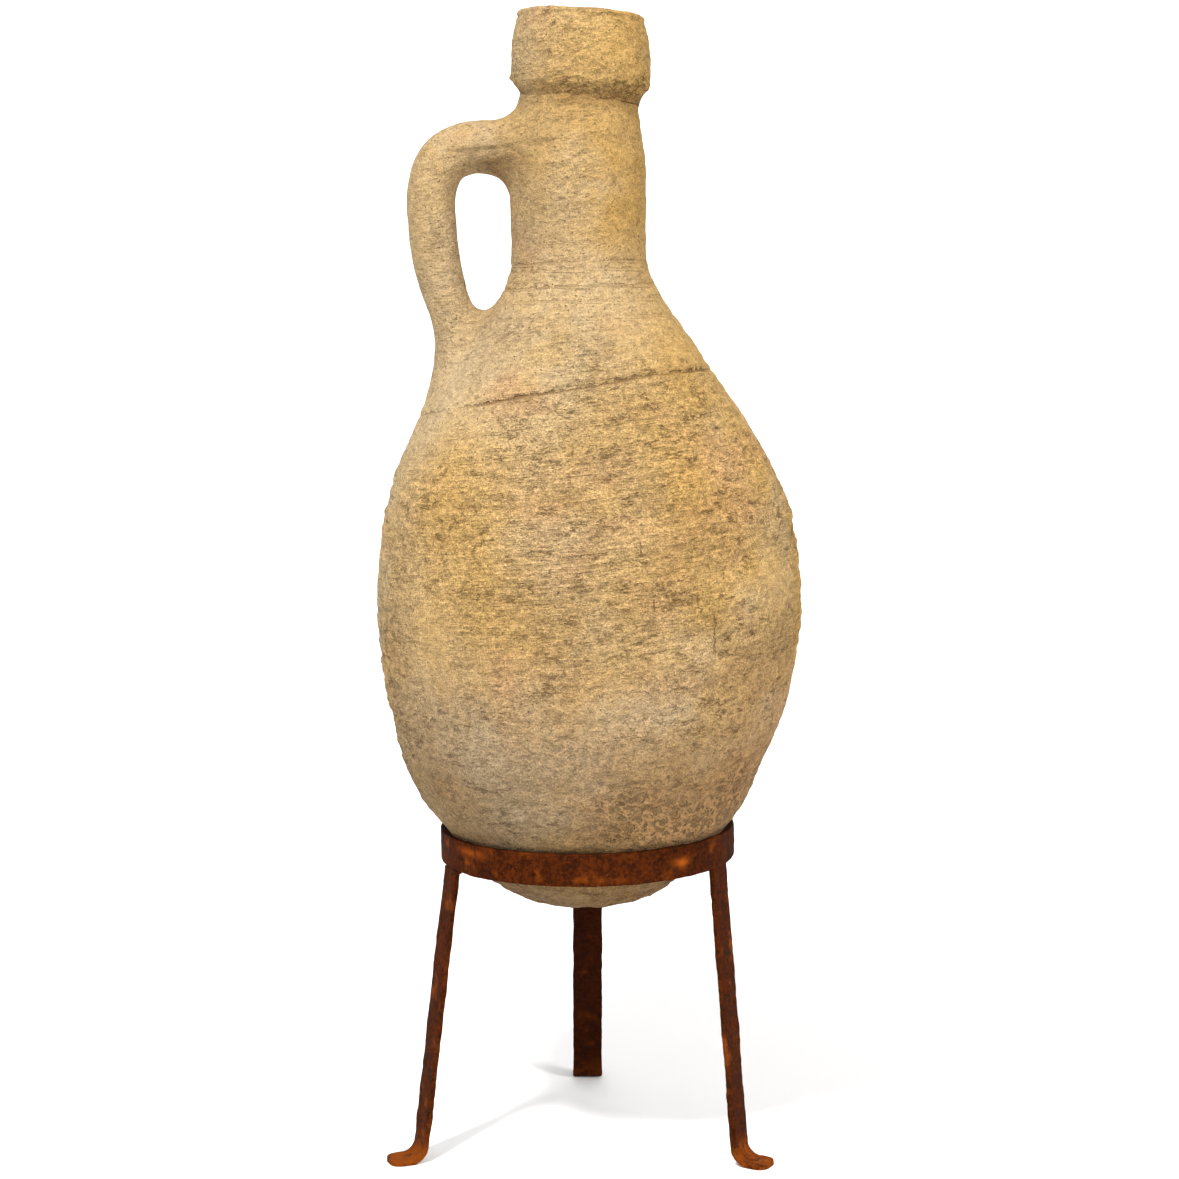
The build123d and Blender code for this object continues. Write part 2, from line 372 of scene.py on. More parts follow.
def handle_flap(points):
    """Relief of the clay smeared from the handle on to the neck, hollow below its edge."""
    x, y, z = points[..., 0], points[..., 1], points[..., 2]
    edge = z - smooth_curve(x, [k[0] for k in FLAP_EDGE], [k[1] for k in FLAP_EDGE])
    flap = soft_step(-108, -99, x) * soft_step(-8, -34, x) * soft_step(6, 14, -y)
    flap = flap * soft_step(30, 10, edge) * soft_step(-34, -14, edge)
    edge = edge + 1.2 * clouds(points, 14, 3, 2)
    hollow = soft_step(1.4, -1.6, edge) * soft_step(-30, -6, edge)
    return flap * (0.9 * soft_step(-1.6, 1.4, edge) - 1.5 * hollow)


def clay_tones(points, angle, handle, torn, groove):
    """How pale, pink, warm and grimy the clay is, how much greyer it is lower down with painted shade
    there, and the painted shade by height, under the collar and the flap, in the grooves and round the
    hoop.
    """
    x, y, z = points[..., 0], points[..., 1], points[..., 2]
    # Greyer and darker lower down: partly the clay's own greyer tone, partly painted shade
    grey_and_shade = soft_step(470, 250, z) * np.clip(0.6 + 0.6 * clouds(points, 120, 2, 3), 0, 1)

    pale = np.clip(0.9 * clouds(points, 70, 4, 3) - 0.25, 0, 1) * 0.7
    for centre, spread, amount in PALE_PATCHES:
        pale += amount * patch(angle, z, centre, spread)
    pale += 0.55 * handle * soft_step(740, 800, z)
    pale += 0.3 * soft_step(-50, -110, x) * soft_step(560, 640, z)

    pink = np.clip(clouds(points, 55, 3, 3) - 0.45, 0, 1)
    for centre, spread, amount in PINK_PATCHES:
        pink += amount * patch(angle, z, centre, spread)
    pink += 0.5 * np.exp(-((x + 100) / 12) ** 2 - ((z - 797) / 8) ** 2)

    # Painted shade under the collar, in the hollow under the handle's flap, in the torn cracks and the
    # shoulder groove, and in the shadow gap just above the hoop. The base under the hoop is darker: partly
    # painted shade, partly grime.
    under_collar = soft_step(812, 830, z) * soft_step(870, 840, z)
    under_flap = np.exp(-((x + 66) / 20) ** 2 - ((z - 779) / 10) ** 2) * soft_step(0, 14, -y)
    dirt_and_shade = under_flap + 0.12 * torn + 0.15 * groove + 0.8 * soft_step(242, 228, z)
    dirt_and_shade += 0.5 * np.exp(-((z - 257) / 8) ** 2)
    for centre, spread, amount in DIRTY_PATCHES:
        dirt_and_shade += amount * patch(angle, z, centre, spread)
    dirt_and_shade += under_collar * (0.2 + 0.5 * between(angle, -20, 80, 20))

    warm = 0.5 + 0.5 * np.sin(angle) + 0.4 * clouds(points, 110, 5, 3) - 0.3 * grey_and_shade
    # Painted shade, partly the clay's own tone: by height, darker still on the lower left side where less
    # light falls, and the handle's own value on the handle
    shade = smooth_curve(z, [k[0] for k in SHADE_BY_HEIGHT], [k[1] for k in SHADE_BY_HEIGHT])
    shade = shade * (1 - 0.1 * soft_step(400, 300, z) * soft_step(0.2, -0.8, np.sin(angle)))
    shade = shade + handle * (HANDLE_SHADE - shade)
    return {"grey_and_shade": grey_and_shade, "pale": pale, "pink": pink, "dirt_and_shade": dirt_and_shade, "warm": warm, "shade": shade}


def clay_marks(points):
    """Outward relief in mm, and the marks that the clay's material reads, at each point."""
    x, y, z = points[..., 0], points[..., 1], points[..., 2]
    angle = np.arctan2(x - jug_middle(z), -y)
    handle = soft_step(-66, -80, x) * soft_step(560, 640, z) * soft_step(30, 24, abs(y))

    # Wheel and drag marks run level round the neck and rise to the right lower down
    tilt = smooth_curve(z, [k[0] for k in DRAG_TILT], [k[1] for k in DRAG_TILT])
    levelled = np.stack([x, y, z - tilt * x], -1)
    patchy = clouds(points, 95, 0, 3)
    rough = clay_roughness(angle, x, z, handle, patchy)
    dragging = soft_step(370, 440, z) * soft_step(720, 640, z) * (0.75 + 0.5 * patchy)
    dragging = np.clip(dragging - 0.7 * patch(angle, z, (-62, 610), (40, 60)), 0, 1) * (1 - handle)

    fine_strokes = clouds(levelled, np.array([42, 42, 5.0]), 2, 3)
    wide_strokes = clouds(levelled, np.array([90, 90, 15.0]), 3, 2)
    crumbs = clouds(levelled, np.array([13, 13, 7.0]), 4, 3)
    pits = clouds(levelled, np.array([15, 15, 6.0]), 5, 3)
    torn = soft_step(0.45, 1.1, -pits) * soft_step(0.3, 0.85, rough)
    relief = 0.7 * clouds(points, 85, 1, 2)
    relief += dragging * (0.55 * fine_strokes + 0.5 * wide_strokes)
    relief += (0.35 + 0.75 * rough) * 0.9 * crumbs * (1 - 0.5 * handle)
    relief -= 1.1 * torn
    relief += 0.8 * soft_step(0.45, 1.0, pits) * soft_step(0.3, 0.8, rough)

    crease, shown, groove, groove_relief = shoulder_groove(angle, z, handle, fine_strokes)
    relief += groove_relief
    crease_on = shown * (0.6 + 0.4 * np.tanh(2 * fine_strokes))
    for above, depth in finger_rings(x, z, levelled):
        relief -= depth * np.exp(-(above / 1.5) ** 2) * (1 - handle)
        nearer = abs(above) < 3
        crease = np.where(nearer, above, crease)
        crease_on = np.where(nearer, 0.3 * depth * (1 - handle) * soft_step(-78, -60, x), crease_on)

    # Clay pushed up into a crooked ridge above the hoop, and the flakes round it
    ridge = abs(z - line_height(angle, SCRAPED_RIDGE) - 2.5 * clouds(points, 16, 1, 2))
    relief += 1.6 * np.exp(-(ridge / 2.0) ** 2) * between(angle, -7, 24, 3)
    scraped = scraped_clay(angle, z, patchy)
    relief += handle_flap(points)
    relief += scraped * (1.7 * np.exp(-(clouds(points, 20, 5, 3) / 0.3) ** 2) - 0.6)

    # The clay sits close inside the hoop
    beside_hoop = soft_step(222, 232, z) * soft_step(266, 261, z)
    relief = relief * (1 - beside_hoop) + beside_hoop * (-0.35 + 0.12 * np.tanh(crumbs))

    crack, crack_on = nearest_crack(angle, z)
    marks = clay_tones(points, angle, handle, torn, groove)
    marks |= {"rough": rough, "drag": dragging, "scraped": scraped, "crease_on": crease_on,
              "crack_on": crack_on}
    marks = {name: np.clip(value, 0, 1) for name, value in marks.items()}
    marks["crease"] = np.clip(crease, -FAR, FAR)
    marks["crack"] = np.clip(crack, -FAR, FAR)
    return relief, marks


# ---------------------------------------------------------------- meshes

def grid_faces(rows, columns, closed=False):
    """Quads over a grid whose columns go right round. closed joins the last row to the first."""
    i = np.arange(rows if closed else rows - 1)[:, None]
    j = np.arange(columns)[None, :]
    after = (j + 1) % columns
    above = (i + 1) % rows
    quads = [i * columns + j, i * columns + after, above * columns + after, above * columns + j]
    return np.stack(np.broadcast_arrays(*quads), -1).reshape(-1, 4)


def capped_faces(rows, columns):
    """A grid closed by a flat face at each end."""
    faces = grid_faces(rows, columns).tolist()
    faces.append(list(range(columns))[::-1])
    faces.append([(rows - 1) * columns + j for j in range(columns)])
    return faces


def grid_normals(points):
    """Normals of a grid whose columns go right round."""
    round_it = np.roll(points, -1, axis=1) - np.roll(points, 1, axis=1)
    up = np.gradient(points, axis=0)
    normals = np.cross(round_it, up)
    return normals / np.maximum(np.linalg.norm(normals, axis=-1, keepdims=True), 1e-9)


def add_piece(name, points, faces, material, body, nodes, marks=None, normals=None):
    """A mesh from points in mm, shown in place of its CAD nodes."""
    mesh = bpy.data.meshes.new(name)
    mesh.from_pydata((points.reshape(-1, 3) * MM).tolist(), [], faces)
    mesh.update()
    mesh.polygons.foreach_set("use_smooth", np.ones(len(mesh.polygons), bool))
    for mark, values in (marks or {}).items():
        attribute = mesh.attributes.new(mark, "FLOAT", "POINT")
        attribute.data.foreach_set("value", values.ravel().astype(np.float32))
    mesh.materials.append(material)
    piece = bpy.data.objects.new(name, mesh)
    bpy.context.scene.collection.objects.link(piece)
    if normals is not None:
        mesh.normals_split_custom_set_from_vertices(normals.reshape(-1, 3).tolist())
    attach(piece, body)
    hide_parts(*nodes)
    return piece


# ---------------------------------------------------------------- shaders

def linear(red, green, blue):
    """A colour given as 0 to 255 in sRGB."""
    values = [c / 255 for c in (red, green, blue)]
    return [c / 12.92 if c <= 0.04045 else ((c + 0.055) / 1.055) ** 2.4 for c in values] + [1]


CLAY_REFLECTS = 0.64


def clay_colour(red, green, blue):
    """A colour of the clay as it looks in bright light, brought down to what it reflects."""
    return [c * CLAY_REFLECTS for c in linear(red, green, blue)[:3]] + [1]


class Shader:
    """A material whose nodes are added with short calls. A socket is linked, a plain value is set."""

    def __init__(self, name):
        self.material = bpy.data.materials.new(name)
        self.material.use_nodes = True
        self.tree = self.material.node_tree
        self.tree.nodes.clear()

    def add(self, kind, inputs, **settings):
        made = self.tree.nodes.new(kind)
        for key, value in settings.items():
            setattr(made, key, value)
        for key, value in inputs.items():
            if isinstance(value, bpy.types.NodeSocket):
                self.tree.links.new(value, made.inputs[key])
            else:
                made.inputs[key].default_value = value
        return made

    def mark(self, name):
        return self.add("ShaderNodeAttribute", {}, attribute_name=name).outputs["Fac"]

    def place(self):
        return self.add("ShaderNodeTexCoord", {}).outputs["Object"]

    def stretched(self, place, slope, across, up):
        """The place with its height tilted by slope, then scaled across and up."""
        parts = self.add("ShaderNodeSeparateXYZ", {0: place})
        tilted = self.sum(parts.outputs["Z"], self.times(parts.outputs["X"], -slope))
        x = self.times(parts.outputs["X"], across)
        y = self.times(parts.outputs["Y"], across)
        return self.add("ShaderNodeCombineXYZ", {"X": x, "Y": y, "Z": self.times(tilted, up)}).outputs[0]

    def noise(self, place, scale, detail=3.0, roughness=0.55, distortion=0.0):
        inputs = {"Vector": place, "Scale": scale, "Detail": detail, "Roughness": roughness,
                  "Distortion": distortion}
        return self.add("ShaderNodeTexNoise", inputs).outputs["Fac"]

    def cells(self, place, scale):
        return self.add("ShaderNodeTexVoronoi", {"Vector": place, "Scale": scale}).outputs["Distance"]

    def window(self, value, low, high, to_low=0.0, to_high=1.0):
        """Takes low..high to to_low..to_high, smoothly, and holds beyond."""
        inputs = {"Value": value, "From Min": low, "From Max": high, "To Min": to_low, "To Max": to_high}
        return self.add("ShaderNodeMapRange", inputs, interpolation_type="SMOOTHSTEP").outputs["Result"]

    def math(self, operation, a, b):
        return self.add("ShaderNodeMath", {0: a, 1: b}, operation=operation).outputs[0]

    def times(self, a, b):
        return self.math("MULTIPLY", a, b)

    def sum(self, a, b):
        return self.math("ADD", a, b)

    def most(self, a, b):
        return self.math("MAXIMUM", a, b)

    def mix(self, amount, a, b, blend="MIX"):
        made = self.add("ShaderNodeMix", {"Factor": amount}, data_type="RGBA", blend_type=blend)
        for index, value in ((6, a), (7, b)):
            if isinstance(value, bpy.types.NodeSocket):
                self.tree.links.new(value, made.inputs[index])
            else:
                made.inputs[index].default_value = value
        return made.outputs[2]

    def toned(self, colour, tone):
        return self.mix(1.0, colour, tone, "MULTIPLY")

    def off_middle(self, noise):
        """How far a noise is from its middle, for marks along the line where it crosses."""
        return self.math("ABSOLUTE", self.sum(noise, -0.5), 0.0)

    def bump(self, height, distance):
        inputs = {"Height": height, "Distance": distance, "Strength": 1.0}
        return self.add("ShaderNodeBump", inputs).outputs[0]

    def finish(self, colour, roughness, normal, metallic=0.0, specular=0.5):
        inputs = {"Base Color": colour, "Roughness": roughness, "Normal": normal,
                  "Metallic": metallic, "Specular IOR Level": specular}
        surface = self.add("ShaderNodeBsdfPrincipled", inputs).outputs[0]
        self.add("ShaderNodeOutputMaterial", {"Surface": surface})
        return self.material


def clay_material():
    """Coarse fired clay: its tones, crumbs and strokes, then the marks, then their relief."""
    s = Shader("fired_clay")
    place = s.place()
    rough, drag = s.mark("rough"), s.mark("drag")
    strokes = s.noise(s.stretched(place, 0.09, 30, 480), 1.0, 4.0, 0.65)
    scratches = s.noise(s.stretched(place, 0.11, 60, 900), 1.0, 3.0, 0.6)
    grain = s.noise(place, 800, 3.0, 0.65)
    crumbs = s.noise(s.stretched(place, 0.09, 170, 270), 1.0, 3.0, 0.66)
    tears = s.noise(s.stretched(place, 0.09, 95, 330), 1.0, 4.0, 0.62)
    torn_area = s.noise(s.stretched(place, 0.09, 55, 130), 1.0, 3.0, 0.6)
    flakes = s.noise(place, 95, 4.0, 0.6)
    specks = s.cells(s.stretched(place, 0.05, 230, 270), 1.0)
    blotches = s.noise(place, 14, 5.0, 0.6)
    mottles = s.noise(place, 70, 4.0, 0.65)

    colour = s.mix(s.mark("warm"), clay_colour(208, 180, 136), clay_colour(216, 173, 102))
    colour = s.mix(s.window(blotches, 0.42, 0.68, 0, 0.5), colour, clay_colour(224, 184, 116))
    colour = s.mix(s.window(mottles, 0.45, 0.75, 0, 0.3), colour, clay_colour(194, 154, 98))
    # Greyer and darker lower down: partly greyer clay, partly painted shade
    colour = s.mix(s.times(s.mark("grey_and_shade"), 0.7), colour, clay_colour(190, 150, 108))
    pale = s.times(s.mark("pale"), s.window(mottles, 0.3, 0.6, 0.45, 1.0))
    colour = s.mix(s.times(pale, 0.6), colour, clay_colour(222, 198, 160))
    colour = s.mix(s.times(s.mark("pink"), 0.4), colour, clay_colour(214, 164, 120))
    # Painted shade under the collar and the flap, in the grooves and cracks and round the hoop, mixed with
    # real grime
    dirt_and_shade = s.times(s.mark("dirt_and_shade"), s.window(mottles, 0.3, 0.65, 0.6, 1.0))
    colour = s.mix(s.times(dirt_and_shade, 0.75), colour, clay_colour(128, 87, 48))
    # Painted shade by height, partly the clay's own tone
    colour = s.toned(colour, s.mark("shade"))

    # The clay's grain and crumbs, lighter on the crumbs and darker in the gaps between them: painted light
    # and painted shade, over the clay's own speckle
    plain = [1, 1, 1, 1]
    grainy = s.window(rough, 0.0, 0.5, 0.7, 1.0)
    colour = s.mix(grainy, colour, s.toned(colour, s.window(grain, 0.34, 0.66, 0.68, 1.3)))
    colour = s.mix(grainy, colour, s.toned(colour, s.window(crumbs, 0.34, 0.66, 0.76, 1.2)))
    colour = s.toned(colour, s.mix(drag, plain, s.window(strokes, 0.34, 0.6, 0.82, 1.08)))

    # Short torn cracks that follow the strokes, crumbled flakes, and the longer marks. The cracks, creases
    # and pits are darkened with painted shade; the flakes get a painted highlight and the gaps between
    # them painted shade.
    torn = s.times(s.window(s.off_middle(tears), 0.045, 0.012), s.window(torn_area, 0.54, 0.64))
    torn = s.times(torn, s.window(rough, 0.08, 0.7, 0.2, 1.0))
    off_flake = s.off_middle(flakes)
    lit_flakes = s.times(s.mark("scraped"), s.window(off_flake, 0.13, 0.02))
    gap_shade = s.times(s.mark("scraped"), s.window(off_flake, 0.1, 0.2))
    crooked = s.times(s.sum(crumbs, -0.5), 7.0)
    off_crease = s.math("ABSOLUTE", s.sum(s.sum(s.mark("crease"), 0.8), crooked), 0.0)
    crease = s.times(s.window(off_crease, 1.4, 0.3), s.mark("crease_on"))
    off_crack = s.math("ABSOLUTE", s.sum(s.mark("crack"), crooked), 0.0)
    crack_on = s.times(s.mark("crack_on"), s.window(mottles, 0.44, 0.54))
    crack = s.times(s.window(off_crack, 0.8, 0.2), crack_on)
    holes = s.times(s.window(specks, 0.2, 0.08), s.window(grain, 0.46, 0.56))
    marks = s.most(s.most(s.times(torn, 0.8), crease), s.most(s.times(crack, 0.8), holes))
    # Painted shade in the torn cracks, creases, cracks and pits
    colour = s.mix(s.times(marks, 0.68), colour, clay_colour(116, 74, 38))
    # Painted shade in the gaps between the flakes
    colour = s.mix(s.times(gap_shade, 0.75), colour, clay_colour(122, 82, 46))
    # Painted highlight on the raised flakes
    colour = s.mix(s.times(lit_flakes, 0.55), colour, clay_colour(206, 158, 106))

    height = s.times(strokes, s.times(drag, 1.2))
    height = s.sum(height, s.times(scratches, s.sum(s.times(drag, 0.6), 0.15)))
    height = s.sum(height, s.times(crumbs, s.sum(s.times(rough, 1.4), 0.8)))
    height = s.sum(height, s.times(grain, 0.25))
    height = s.sum(height, s.times(lit_flakes, 1.5))
    height = s.sum(height, s.times(marks, -1.0))
    normal = s.bump(height, 0.0034)
    return s.finish(colour, s.window(mottles, 0.3, 0.7, 0.88, 0.98), normal, specular=0.08)


def iron_material(name, tone):
    """Rusted iron. tone from 0, dark and scaly, to 1, orange."""
    s = Shader(name)
    place = s.place()
    blotches = s.noise(place, 95, 6.0, 0.75, 0.2)
    pits = s.noise(place, 520, 4.0, 0.65)
    flecks = s.noise(place, 380, 4.0, 0.7)
    scale = s.cells(place, 380)
    colour = s.mix(s.window(blotches, 0.36, 0.66), linear(41, 15, 2), linear(70, 29, 5))
    colour = s.mix(s.window(flecks, 0.52, 0.7, 0, 0.25 + 0.3 * tone), colour, linear(102, 48, 11))
    colour = s.mix(s.window(flecks, 0.46, 0.32, 0, 0.85), colour, linear(30, 9, 3))
    colour = s.mix(s.times(s.mark("orange"), s.window(blotches, 0.3, 0.55)), colour, linear(168, 84, 18))
    # Darker where the dark mark says: painted shade on the hoop and painted shadow on the back leg, and
    # darker weld metal
    colour = s.mix(s.times(s.mark("dark"), 0.8), colour, linear(28, 6, 2))
    height = s.sum(s.times(blotches, 0.8), s.times(pits, 0.7))
    height = s.sum(height, s.times(s.window(scale, 0.0, 0.5), 0.25))
    normal = s.bump(height, 0.0006)
    return s.finish(colour, s.window(blotches, 0.35, 0.65, 0.7, 0.9), normal, specular=0.03)


# ---------------------------------------------------------------- clay pieces

def jug_rows(low, high, spacing):
    """Heights from low to high, evenly spaced along the jug's outline."""
    fine = np.linspace(low, high, 4000)
    radius = jug_radius(fine)
    length = np.concatenate([[0], np.cumsum(np.hypot(np.diff(fine), np.diff(radius)))])
    count = round(length[-1] / spacing)
    return np.interp(np.linspace(0, length[-1], count + 1), length, fine)


ANGLES = np.arange(COLUMNS) / COLUMNS * FULL_TURN


def turned_rows(heights, radii, middles):
    """Rings of points, one for each height."""
    x = middles[:, None] + radii[:, None] * np.sin(ANGLES)
    y = -radii[:, None] * np.cos(ANGLES)
    z = np.broadcast_to(heights[:, None], x.shape)
    return np.stack([x, y, z], -1)


def jug_outside(heights):
    """The outside of the jug with the smear to the handle, then its marks."""
    plain = turned_rows(heights, jug_radius(heights), jug_middle(heights))
    lean = jug_lean(heights)[:, None] * np.ones(COLUMNS)
    outward = np.stack([np.sin(ANGLES) + 0 * lean, -np.cos(ANGLES) + 0 * lean, -lean], -1)
    outward /= np.linalg.norm(outward, axis=-1, keepdims=True)
    smeared = smeared_out(plain, outward, handle_distance)
    relief, marks = clay_marks(smeared)
    at_pole = soft_step(2, 30, jug_radius(heights))[:, None]
    return smeared + outward * (relief * at_pole)[..., None], marks


def inside_rows(heights, radii):
    """The hollow of the jug, from the top down."""
    heights = np.asarray(heights, float)
    rows = turned_rows(heights, np.asarray(radii, float), jug_middle(heights))
    wobble = clouds(rows, 40, 1, 2)[..., None]
    outward = np.stack([np.sin(ANGLES), -np.cos(ANGLES), 0 * ANGLES], -1)
    return rows + outward * wobble * 0.5


def with_inside(marks, rows):
    """The marks of the outside, and plain clay for the rows of the hollow, darkened with painted shade."""
    plain = {"rough": 0.3, "drag": 0.3, "pale": 0.0, "pink": 0.0, "dirt_and_shade": 0.5, "warm": 0.4, "grey_and_shade": 0.4,
             "scraped": 0.0, "shade": 0.7, "crease_on": 0.0, "crack_on": 0.0, "crease": FAR, "crack": FAR}
    return {name: np.concatenate([value, np.full((rows, COLUMNS), plain[name])])
            for name, value in marks.items()}


def make_clay(clay):
    """The turned jug, cut at its two joins. Its hollow is given as rings: height and radius."""
    lower = jug_rows(JUG_OUTLINE[0][0], BELLY_JOIN, 2.1)
    upper = jug_rows(BELLY_JOIN, NECK_FOOT, 1.75)
    neck = jug_rows(NECK_FOOT, NECK_EDGE, 1.6)
    heights = np.concatenate([lower, upper[1:], neck[1:]])
    outside, marks = jug_outside(heights)
    normals = grid_normals(outside)
    belly = len(lower)
    foot = belly + len(upper) - 1

    inner = [BELLY_JOIN, 470, 430, 390, 350, 310, 280, 260, 243, 228, 217, 209, 205.5, 203.6]
    inner_radii = list(jug_radius(np.array(inner[:9])) - WALL) + [78, 60, 40, 20, 3]
    add_shell("jug_lower_body", outside, marks, normals, slice(0, belly),
              inside_rows(inner, inner_radii), clay, "lower_body", False)

    inner = [NECK_FOOT, 675, 655, 630, 600, 570, 540, BELLY_JOIN]
    inner_radii = [NECK_BORE, 52, 66, 84, 104.5, 122.5, 136, jug_radius(np.array([BELLY_JOIN]))[0] - WALL]
    add_shell("jug_upper_body", outside, marks, normals, slice(belly - 1, foot),
              inside_rows(inner, inner_radii), clay, "upper_body", True)

    inner = [NECK_EDGE, 850, NECK_TOP, NECK_TOP, 850, 830, 822, 812, 780, 745, 715, NECK_FOOT]
    inner_radii = [44.5, 44.2, 44] + [THROAT] * 3 + [38.4, 41.6] + [NECK_BORE] * 4
    add_shell("jug_neck", outside, marks, normals, slice(foot - 1, len(heights)),
              inside_rows(inner, inner_radii), clay, "neck", True)


def add_shell(name, outside, marks, normals, rows, hollow, clay, node, open_below):
    """A turned piece with its hollow. Its edge rows keep the normals of the whole jug."""
    points = np.concatenate([outside[rows], hollow])
    if open_below:
        faces = grid_faces(len(points), COLUMNS, closed=True).tolist()
    else:
        faces = capped_faces(len(points), COLUMNS)
    held = np.zeros_like(points)
    last = len(outside[rows]) - 1
    held[last] = normals[rows][last]
    if open_below:
        held[0] = normals[rows][0]
    own = {mark: value[rows] for mark, value in marks.items()}
    add_piece(name, points, faces, clay, "jug", [node], with_inside(own, len(hollow)), held)


def make_handle(clay):
    """The strap: an oval section along its middle line, smeared into the jug at both ends."""
    line, along, thick, wide = handle_samples(230)
    turn = np.arange(110) / 110 * FULL_TURN
    out = np.stack([along[:, 2], 0 * along[:, 0], -along[:, 0]], -1)
    across = np.array([0, 1.0, 0])
    offset = (np.cos(turn)[None, :, None] * thick[:, None, None] * out[:, None, :]
              + np.sin(turn)[None, :, None] * wide[:, None, None] * across)
    outward = (np.cos(turn)[None, :, None] / thick[:, None, None] * out[:, None, :]
               + np.sin(turn)[None, :, None] / wide[:, None, None] * across)
    outward /= np.linalg.norm(outward, axis=-1, keepdims=True)
    points = smeared_out(line[:, None, :] + offset, outward, jug_distance)
    relief, marks = clay_marks(points)
    points = points + outward * relief[..., None]

    # What is inside the jug's wall stays in the middle of it
    z = points[..., 2]
    depth = jug_distance(points)
    radial = points - np.stack([jug_middle(z), 0 * z, z], -1)
    radial /= np.maximum(np.linalg.norm(radial, axis=-1, keepdims=True), 1e-6)
    points = points + radial * np.maximum(-5.5 - depth, 0)[..., None]
    faces = capped_faces(len(points), len(turn))
    add_piece("jug_handle", points, faces, clay, "jug", ["handle"], marks)


COLLAR_MIDDLE = -5.0
COLLAR_LOW = 831.0
COLLAR_TOP = 893.3
COLLAR_SLOPE = 0.052


def make_collar(clay):
    """The thick band of the mouth: outside, rounded lip, throat, and the underside round the neck."""
    seat = NECK_TOP + 0.3
    band = [(45.0, -6), (46.6, -2.5), (48.8, 1.5), (51.2, 5.5), (52.9, 9.5), (53.6, 14), (53.9, 21),
            (53.7, 31), (52.9, 41), (51.5, 49), (50.2, 54)]
    lip = [(49.2, 6.3), (48.5, 4.7), (49.1, 3.2), (48.8, 1.6), (47.3, 0.4), (45, 0), (42.5, 0.6),
           (40.2, 2.6), (38.6, 6), (THROAT, 10)]
    outline = [(r, COLLAR_LOW + up) for r, up in band] + [(r, COLLAR_TOP - down) for r, down in lip]
    outline.append((THROAT, seat))
    closing = [(44.6, seat), (44.8, 860), (45, 845)]
    radius, height = (np.array(column, float) for column in zip(*outline))
    length = np.concatenate([[0], np.cumsum(np.hypot(np.diff(radius), np.diff(height)))])
    at = np.linspace(0, length[-1], 105)
    radius = np.concatenate([smooth_curve(at, length, radius), [r for r, z in closing]])
    height = np.concatenate([smooth_curve(at, length, height), [z for r, z in closing]])
    rows = turned_rows(height, radius, np.full(len(radius), COLLAR_MIDDLE))
    normals = grid_normals(rows)
    angle = np.broadcast_to(ANGLES, rows.shape[:2])

    # The lower edge is smeared into the neck at the left and stands sharp at the front and right
    sharp = between(angle, -25, 100, 18)
    foot = soft_step(COLLAR_LOW + 14, COLLAR_LOW, rows[..., 2]) * soft_step(44.9, 46.5, radius)[:, None]
    rows[..., 2] += foot * (3.0 * sharp - 0.5 * (1 - sharp)) + foot * 1.1 * clouds(rows, 22, 2, 3)
    tilt = -COLLAR_SLOPE * (rows[..., 0] - COLLAR_MIDDLE)
    rows[..., 2] += tilt
    _, marks = clay_marks(rows)
    shown = (soft_step(40, 44, radius) * soft_step(835, 838, height))[:, None]
    crumbly = foot * sharp
    small = clouds(rows, np.array([9, 9, 6.0]), 4, 3)
    rings = clouds(rows - np.stack([0 * tilt, 0 * tilt, tilt], -1), np.array([70, 70, 4.5]), 2, 2)
    relief = 0.4 * clouds(rows, 50, 1, 2) + 0.22 * rings + 0.3 * small + 1.1 * crumbly * small
    burr = patch(angle, rows[..., 2], (-92, 845), (3.5, 2.2))
    relief = relief * shown + 2.4 * burr
    body = len(at)
    relief[body:] = 0
    points = rows + normals * relief[..., None]
    # Painted shade in the groove under the collar's lower edge, deepest at the front and right where it
    # stands sharp, and inside the throat
    groove = soft_step(COLLAR_LOW + 9, COLLAR_LOW, points[..., 2] - tilt)
    marks["dirt_and_shade"] = np.clip(groove * (0.3 + 0.5 * sharp) + 0.25 * soft_step(44, 38, radius)[:, None], 0, 1)
    marks["rough"] = np.clip(0.18 + 0.7 * crumbly + 0.2 * small, 0, 1)
    marks["drag"] = np.full_like(groove, 0.3)
    faces = grid_faces(len(points), COLUMNS, closed=True).tolist()
    add_piece("jug_rim_collar", points, faces, clay, "jug", ["rim_collar"], marks)


# ---------------------------------------------------------------- iron pieces

def bar_section(width, thickness, corner, across_steps, corner_steps):
    """A rounded rectangle, as (across the thickness, along the width), anticlockwise."""
    half_t = thickness / 2 - corner
    half_w = width / 2 - corner
    points = []
    corners = ((half_t, half_w, 0), (-half_t, half_w, 90), (-half_t, -half_w, 180), (half_t, -half_w, 270))
    for centre_t, centre_w, start in corners:
        for step in range(corner_steps + 1):
            a = math.radians(start + 90 * step / corner_steps)
            points.append((centre_t + corner * math.cos(a), centre_w + corner * math.sin(a)))
        if start in (90, 270):
            sign = 1 if start == 90 else -1
            points += [(sign * -thickness / 2, half_w * sign * (1 - 2 * k / across_steps))
                       for k in range(1, across_steps)]
    return np.array(points)


def hoop_tilted(points):
    """Tips points about the hoop's middle, the right side up."""
    c, s = math.cos(HOOP_TILT), math.sin(HOOP_TILT)
    x, z = points[..., 0], points[..., 2] - HOOP_TOP
    return np.stack([x * c - z * s, points[..., 1], HOOP_TOP + x * s + z * c], -1)


def iron_marks(points):
    """Spots of orange rust on plain iron."""
    rust = np.clip(clouds(points, 12, 4, 3) - 0.7, 0, 1) * 0.3
    return {"orange": rust, "dark": np.zeros(points.shape[:-1])}


